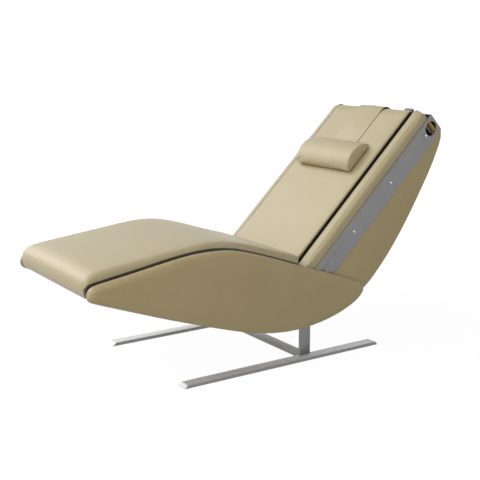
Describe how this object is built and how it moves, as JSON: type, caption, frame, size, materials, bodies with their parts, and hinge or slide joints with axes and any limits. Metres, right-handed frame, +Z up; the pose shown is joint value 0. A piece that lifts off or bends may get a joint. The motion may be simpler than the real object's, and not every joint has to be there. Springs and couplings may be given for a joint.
{
  "type": "massage lounger",
  "caption": "Upholstered massage lounger on two flat skids, with a padded seat shell and a reclining back that holds a powered roller carriage.",
  "frame": {"origin": "on the floor under the skids, midway between the foot end of the seat and the head end of the back, halfway across", "axes": "+X to the left of the person who lies on it, +Y from foot to head, +Z up"},
  "size_m": [0.688, 1.7828, 1.0334],
  "materials": {
    "leather": "satin, lightly grained",
    "leather_side": "satin, lightly grained",
    "satin_steel": "satin",
    "dark_steel": "semi-matte",
    "bright_steel": "polished",
    "black_plastic": "matte",
    "plywood": "bare",
    "roller_rubber": "matte",
    "brass": "machined"
  },
  "bodies": {
    "seat_body": {"skid_left": "satin_steel", "skid_right": "satin_steel", "base_crossbar": "satin_steel", "post_left": "satin_steel", "post_right": "satin_steel", "seat_cushion": "leather", "side_panel_left": "leather_side", "side_panel_right": "leather_side", "belly_cover": "leather_side", "seat_pan": "plywood", "seat_side_plate_left": "dark_steel", "seat_side_plate_right": "dark_steel", "seat_crossbar_front": "dark_steel", "seat_crossbar_rear": "dark_steel", "actuator_crossbar": "dark_steel", "control_box": "black_plastic", "thigh_vibration_motor": "dark_steel", "mains_inlet": "black_plastic"},
    "backrest": {"side_band_left": "satin_steel", "side_band_right": "satin_steel", "hinge_pin_left": "bright_steel", "hinge_pin_right": "bright_steel", "torsion_tube": "dark_steel", "band_screw_left_1": "bright_steel", "band_screw_left_2": "bright_steel", "band_screw_left_3": "bright_steel", "band_screw_right_1": "bright_steel", "band_screw_right_2": "bright_steel", "band_screw_right_3": "bright_steel", "side_stile_left": "plywood", "side_stile_right": "plywood", "guide_rail_left": "bright_steel", "guide_rail_right": "bright_steel", "head_plate": "satin_steel", "top_batten": "plywood", "top_cross_plate": "satin_steel", "lift_motor": "black_plastic", "back_shell": "leather_side", "lower_guard": "dark_steel", "back_pad": "leather", "bolster_left": "leather", "bolster_right": "leather", "pillow_strap": "leather"},
    "actuator_tube": {"actuator_body": "black_plastic"},
    "actuator_ram": {"actuator_rod": "bright_steel"},
    "pillow": {"head_pillow": "leather"},
    "screw": {"lead_screw": "bright_steel"},
    "carriage": {"carriage_frame": "dark_steel", "kneading_motor": "black_plastic"},
    "wheels_lower": {"carriage_wheels_lower": "black_plastic"},
    "wheels_upper": {"carriage_wheels_upper": "black_plastic"},
    "knead_shaft": {"kneading_shaft": "bright_steel"},
    "knead_worm": {"kneading_worm": "brass"},
    "arm_left": {"massage_arm_left": "dark_steel"},
    "roller_left_lower": {"roller_left_lower": "roller_rubber"},
    "roller_left_upper": {"roller_left_upper": "roller_rubber"},
    "arm_right": {"massage_arm_right": "dark_steel"},
    "roller_right_lower": {"roller_right_lower": "roller_rubber"},
    "roller_right_upper": {"roller_right_upper": "roller_rubber"}
  },
  "joints": [
    {"name": "backrest_recline", "type": "hinge", "parent": "seat_body", "child": "backrest", "pos_m": [0, 0.17887, 0.326], "axis": [1, 0, 0], "range_deg": [-20, 0]},
    {"name": "actuator_swing", "type": "hinge", "parent": "seat_body", "child": "actuator_tube", "pos_m": [0, -0.13511, 0.32102], "axis": [1, 0, 0], "range_deg": [-1.2, 0.2]},
    {"name": "actuator_extend", "type": "slide", "parent": "actuator_tube", "child": "actuator_ram", "axis": [0, 0.9613, -0.2756], "range_m": [-0.034, 0.0002]},
    {"name": "pillow_slide", "type": "slide", "parent": "backrest", "child": "pillow", "axis": [0, 0.7193, 0.6947], "range_m": [-0.08, 0.06]},
    {"name": "carriage_lift", "type": "slide", "parent": "backrest", "child": "carriage", "axis": [0, 0.7193, 0.6947], "range_m": [-0.19, 0.34]},
    {"name": "lead_screw_turn", "type": "hinge", "parent": "backrest", "child": "screw", "pos_m": [0, 0.51945, 0.59233], "axis": [0, 0.7193, 0.6947], "continuous": true},
    {"name": "wheels_lower_turn", "type": "hinge", "parent": "carriage", "child": "wheels_lower", "pos_m": [0, 0.40228, 0.57691], "axis": [1, 0, 0], "continuous": true},
    {"name": "wheels_upper_turn", "type": "hinge", "parent": "carriage", "child": "wheels_upper", "pos_m": [0, 0.53895, 0.7089], "axis": [1, 0, 0], "continuous": true},
    {"name": "kneading_turn", "type": "hinge", "parent": "carriage", "child": "knead_shaft", "pos_m": [0, 0.47082, 0.64269], "axis": [1, 0, 0], "continuous": true},
    {"name": "worm_turn", "type": "hinge", "parent": "carriage", "child": "knead_worm", "pos_m": [0, 0.49326, 0.61945], "axis": [0, 0.7193, 0.6947], "continuous": true},
    {"name": "arm_left_rock", "type": "hinge", "parent": "carriage", "child": "arm_left", "pos_m": [0.09, 0.47082, 0.64269], "axis": [1, 0, 0], "range_deg": [-8, 8]},
    {"name": "roller_left_lower_turn", "type": "hinge", "parent": "arm_left", "child": "roller_left_lower", "pos_m": [0.118, 0.43126, 0.60448], "axis": [1, 0, 0], "continuous": true},
    {"name": "roller_left_upper_turn", "type": "hinge", "parent": "arm_left", "child": "roller_left_upper", "pos_m": [0.118, 0.51038, 0.68089], "axis": [1, 0, 0], "continuous": true},
    {"name": "arm_right_rock", "type": "hinge", "parent": "carriage", "child": "arm_right", "pos_m": [-0.09, 0.47082, 0.64269], "axis": [1, 0, 0], "range_deg": [-8, 8]},
    {"name": "roller_right_lower_turn", "type": "hinge", "parent": "arm_right", "child": "roller_right_lower", "pos_m": [-0.118, 0.43126, 0.60448], "axis": [1, 0, 0], "continuous": true},
    {"name": "roller_right_upper_turn", "type": "hinge", "parent": "arm_right", "child": "roller_right_upper", "pos_m": [-0.118, 0.51038, 0.68089], "axis": [1, 0, 0], "continuous": true}
  ],
  "couplings": [
    {"joint": "actuator_swing", "follows": "backrest_recline", "ratio": 0.044756},
    {"joint": "actuator_extend", "follows": "backrest_recline", "m_per_rad": 0.09448},
    {"joint": "lead_screw_turn", "follows": "carriage_lift", "rad_per_m": -392.7},
    {"joint": "wheels_lower_turn", "follows": "carriage_lift", "rad_per_m": -66.667},
    {"joint": "wheels_upper_turn", "follows": "carriage_lift", "rad_per_m": -66.667},
    {"joint": "worm_turn", "follows": "kneading_turn", "ratio": 30}
  ]
}
